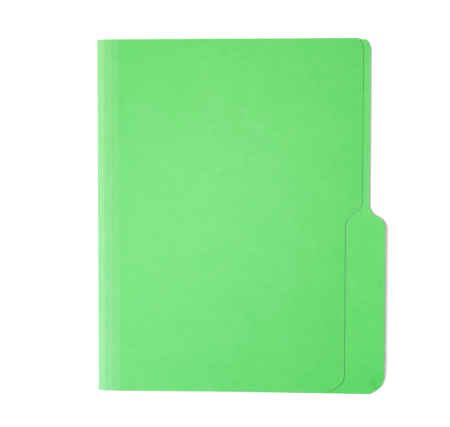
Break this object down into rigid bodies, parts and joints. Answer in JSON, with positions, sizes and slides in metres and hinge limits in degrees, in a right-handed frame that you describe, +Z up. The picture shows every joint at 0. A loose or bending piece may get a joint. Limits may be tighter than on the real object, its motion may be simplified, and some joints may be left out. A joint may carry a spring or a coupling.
{
  "type": "file folder",
  "caption": "Letter-size card file folder with a half-cut tab, a notch in the front leaf that shows it and scored strips beside the fold; the front leaf opens out flat.",
  "frame": {"origin": "middle of the closed folder's outline, on the table under the back leaf", "axes": "+X from the fold to the tab, +Y along the fold and away from the tab's half, +Z up through the front leaf"},
  "size_m": [0.2432, 0.2984, 0.0036],
  "materials": {
    "card": "uncoated, matte, fine fibre",
    "crease": "pressed or bent card, slightly paler"
  },
  "bodies": {
    "back": {"back_leaf": "card", "main_fold": "crease"},
    "first_strip": {"strip_1": "card", "score_1": "crease"},
    "second_strip": {"strip_2": "card", "score_2": "crease"},
    "third_strip": {"strip_3": "card", "score_3": "crease"},
    "front": {"front_leaf": "card"}
  },
  "joints": [
    {"name": "main_fold_hinge", "type": "hinge", "parent": "back", "child": "first_strip", "pos_m": [-0.121, 0, 0.0006], "axis": [0, -1, 0], "range_deg": [0, 165]},
    {"name": "score_1_hinge", "type": "hinge", "parent": "first_strip", "child": "second_strip", "pos_m": [-0.11556, 0, 0.00252], "axis": [0, -1, 0], "range_deg": [0, 9]},
    {"name": "score_2_hinge", "type": "hinge", "parent": "second_strip", "child": "third_strip", "pos_m": [-0.10925, 0, 0.00319], "axis": [0, -1, 0], "range_deg": [0, 4]},
    {"name": "score_3_hinge", "type": "hinge", "parent": "third_strip", "child": "front", "pos_m": [-0.1029, 0, 0.00341], "axis": [0, -1, 0], "range_deg": [0, 2.69]}
  ]
}
